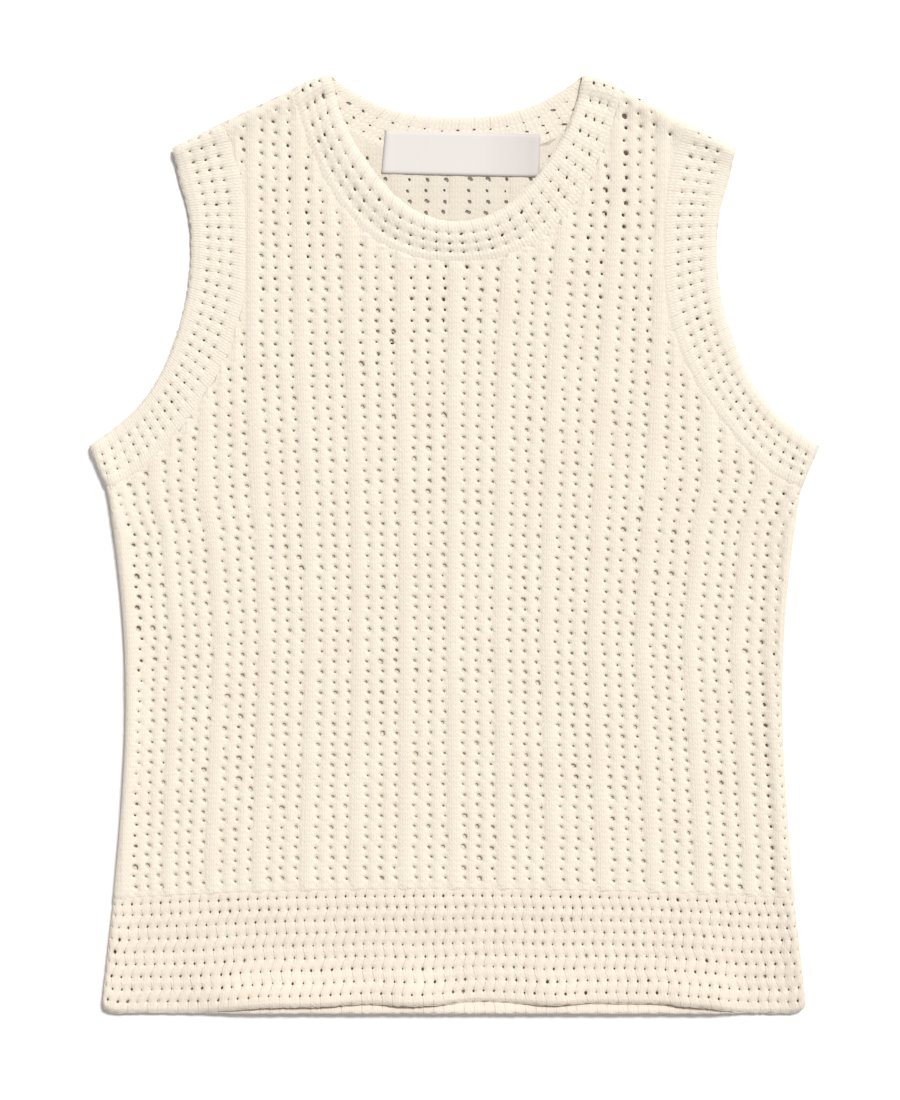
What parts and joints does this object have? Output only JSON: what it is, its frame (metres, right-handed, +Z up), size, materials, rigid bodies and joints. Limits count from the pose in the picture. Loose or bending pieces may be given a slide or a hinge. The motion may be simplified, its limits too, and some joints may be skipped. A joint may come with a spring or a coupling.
{
  "type": "sweater vest",
  "caption": "Sleeveless cream knitted vest in open rib mesh, laid flat front up, with neckband, armbands, hem bands and a blank neck label.",
  "frame": {"origin": "on the surface under the middle of the garment's width and length", "axes": "+Y up the garment from hem to neck, +Z up from the surface through back and front, +X across to the right of the picture"},
  "size_m": [0.4386, 0.5638, 0.0074],
  "materials": {
    "rib_mesh": "matt cream cotton knit",
    "band_mesh": "matt cream cotton knit",
    "label": "smooth woven satin"
  },
  "bodies": {
    "root": {"front_body": "rib_mesh", "back_body": "rib_mesh", "front_hem_band": "band_mesh", "back_hem_band": "band_mesh", "neck_band": "band_mesh", "left_armband": "band_mesh", "right_armband": "band_mesh", "neck_label": "label"}
  },
  "joints": []
}
